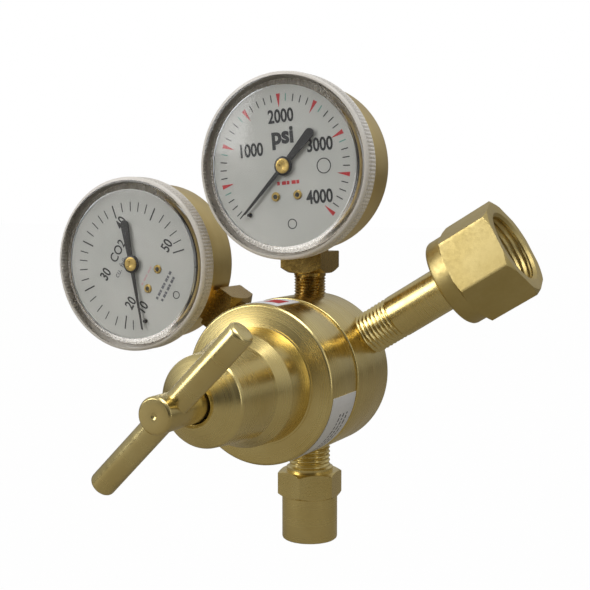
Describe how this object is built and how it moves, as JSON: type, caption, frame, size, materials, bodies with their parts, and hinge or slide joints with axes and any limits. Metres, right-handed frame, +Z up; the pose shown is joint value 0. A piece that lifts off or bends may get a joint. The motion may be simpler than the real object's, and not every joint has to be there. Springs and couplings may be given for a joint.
{
  "type": "carbon dioxide regulator",
  "caption": "Brass gas pressure regulator with a stepped bonnet, T-bar adjusting screw, tank and flow gauges, swivel inlet nut and threaded outlet.",
  "frame": {"origin": "centre of the washer face on which the inlet seats against the cylinder valve", "axes": "+Z up and out of the tank gauge's port, +Y out of the body's back, so the adjusting screw points along -Y; -Z out of the outlet"},
  "size_m": [0.1613, 0.1075, 0.1505],
  "materials": {
    "brass": "satin, lathe-turned",
    "dark_brass": "satin, a little darker and oxidised",
    "steel": "satin",
    "rubber": "matt",
    "nylon": "matt",
    "sticker": "semi-gloss film",
    "lens": "clear moulded polycarbonate",
    "dial_face": "matt print",
    "black": "satin black"
  },
  "bodies": {
    "regulator": {"body": "brass", "bonnet": "brass", "slip_ring": "brass", "seat_nozzle": "brass", "inlet_nipple": "brass", "outlet_fitting": "brass", "tank_gauge_case": "brass", "tank_dial_screw_left": "brass", "tank_dial_screw_right": "brass", "tank_movement_frame": "brass", "flow_gauge_case": "brass", "flow_dial_screw_left": "brass", "flow_dial_screw_right": "brass", "flow_movement_frame": "brass", "inlet_filter": "dark_brass", "outlet_orifice": "dark_brass", "tank_gauge_socket": "dark_brass", "tank_bourdon_tube": "dark_brass", "flow_gauge_socket": "dark_brass", "flow_bourdon_tube": "dark_brass", "range_spring": "steel", "poppet_spring": "steel", "diaphragm": "rubber", "inlet_washer": "nylon", "label_top": "sticker", "label_side": "sticker", "tank_gauge_lens": "lens", "flow_gauge_lens": "lens", "tank_dial": "dial_face", "flow_dial": "dial_face", "tank_stop_pin": "black", "flow_stop_pin": "black"},
    "screw_carriage": {"spring_button": "steel"},
    "handle": {"adjusting_screw": "brass", "t_bar": "brass"},
    "diaphragm_centre": {"diaphragm_plate": "steel"},
    "valve": {"valve_stem": "steel"},
    "nut": {"inlet_nut": "dark_brass"},
    "tank_needle": {"tank_pointer": "black"},
    "tank_sector": {"tank_sector_gear": "brass"},
    "tank_linkage": {"tank_link": "brass"},
    "flow_needle": {"flow_pointer": "black"},
    "flow_sector": {"flow_sector_gear": "brass"},
    "flow_linkage": {"flow_link": "brass"}
  },
  "joints": [
    {"name": "screw_travel", "type": "slide", "parent": "regulator", "child": "screw_carriage", "axis": [0, 1, 0], "range_m": [0, 0.0048], "deforming": ["range_spring"]},
    {"name": "handle_turn", "type": "hinge", "parent": "screw_carriage", "child": "handle", "pos_m": [-0.05772, -0.0846, -0.03537], "axis": [0, 1, 0], "range_deg": [0, 1080]},
    {"name": "diaphragm_flex", "type": "slide", "parent": "regulator", "child": "diaphragm_centre", "axis": [0, 1, 0], "range_m": [0, 0.0007], "stiffness_N_per_m": 2000, "deforming": ["diaphragm"]},
    {"name": "valve_lift", "type": "slide", "parent": "regulator", "child": "valve", "axis": [0, 1, 0], "range_m": [0, 0.0007], "deforming": ["poppet_spring"]},
    {"name": "nut_swivel", "type": "hinge", "parent": "regulator", "child": "nut", "pos_m": [0, 0, 0], "axis": [0.8526, 0, 0.5225], "continuous": true},
    {"name": "tank_pointer_turn", "type": "hinge", "parent": "regulator", "child": "tank_needle", "pos_m": [-0.05772, -0.0189, 0.03029], "axis": [0, 1, 0], "range_deg": [0, 268], "stiffness_Nm_per_rad": 0.002, "deforming": ["tank_bourdon_tube"]},
    {"name": "tank_sector_turn", "type": "hinge", "parent": "regulator", "child": "tank_sector", "pos_m": [-0.05772, -0.0098, 0.01679], "axis": [0, 1, 0], "range_deg": [-34, 0]},
    {"name": "tank_link_turn", "type": "hinge", "parent": "tank_sector", "child": "tank_linkage", "pos_m": [-0.05917, -0.011, 0.012], "axis": [0, 1, 0], "range_deg": [0, 34]},
    {"name": "flow_pointer_turn", "type": "hinge", "parent": "regulator", "child": "flow_needle", "pos_m": [-0.11436, -0.0189, -0.00134], "axis": [0, 1, 0], "range_deg": [0, 268], "stiffness_Nm_per_rad": 0.002, "deforming": ["flow_bourdon_tube"]},
    {"name": "flow_sector_turn", "type": "hinge", "parent": "regulator", "child": "flow_sector", "pos_m": [-0.10279, -0.0098, -0.00829], "axis": [0, 1, 0], "range_deg": [-34, 0]},
    {"name": "flow_link_turn", "type": "hinge", "parent": "flow_sector", "child": "flow_linkage", "pos_m": [-0.09943, -0.011, -0.01199], "axis": [0, 1, 0], "range_deg": [0, 34]}
  ],
  "couplings": [
    {"joint": "screw_travel", "follows": "handle_turn", "m_per_rad": 0.00025266},
    {"joint": "valve_lift", "follows": "diaphragm_flex", "ratio": 1},
    {"joint": "tank_sector_turn", "follows": "tank_pointer_turn", "ratio": -0.125},
    {"joint": "tank_link_turn", "follows": "tank_pointer_turn", "ratio": 0.125},
    {"joint": "flow_sector_turn", "follows": "flow_pointer_turn", "ratio": -0.125},
    {"joint": "flow_link_turn", "follows": "flow_pointer_turn", "ratio": 0.125}
  ]
}
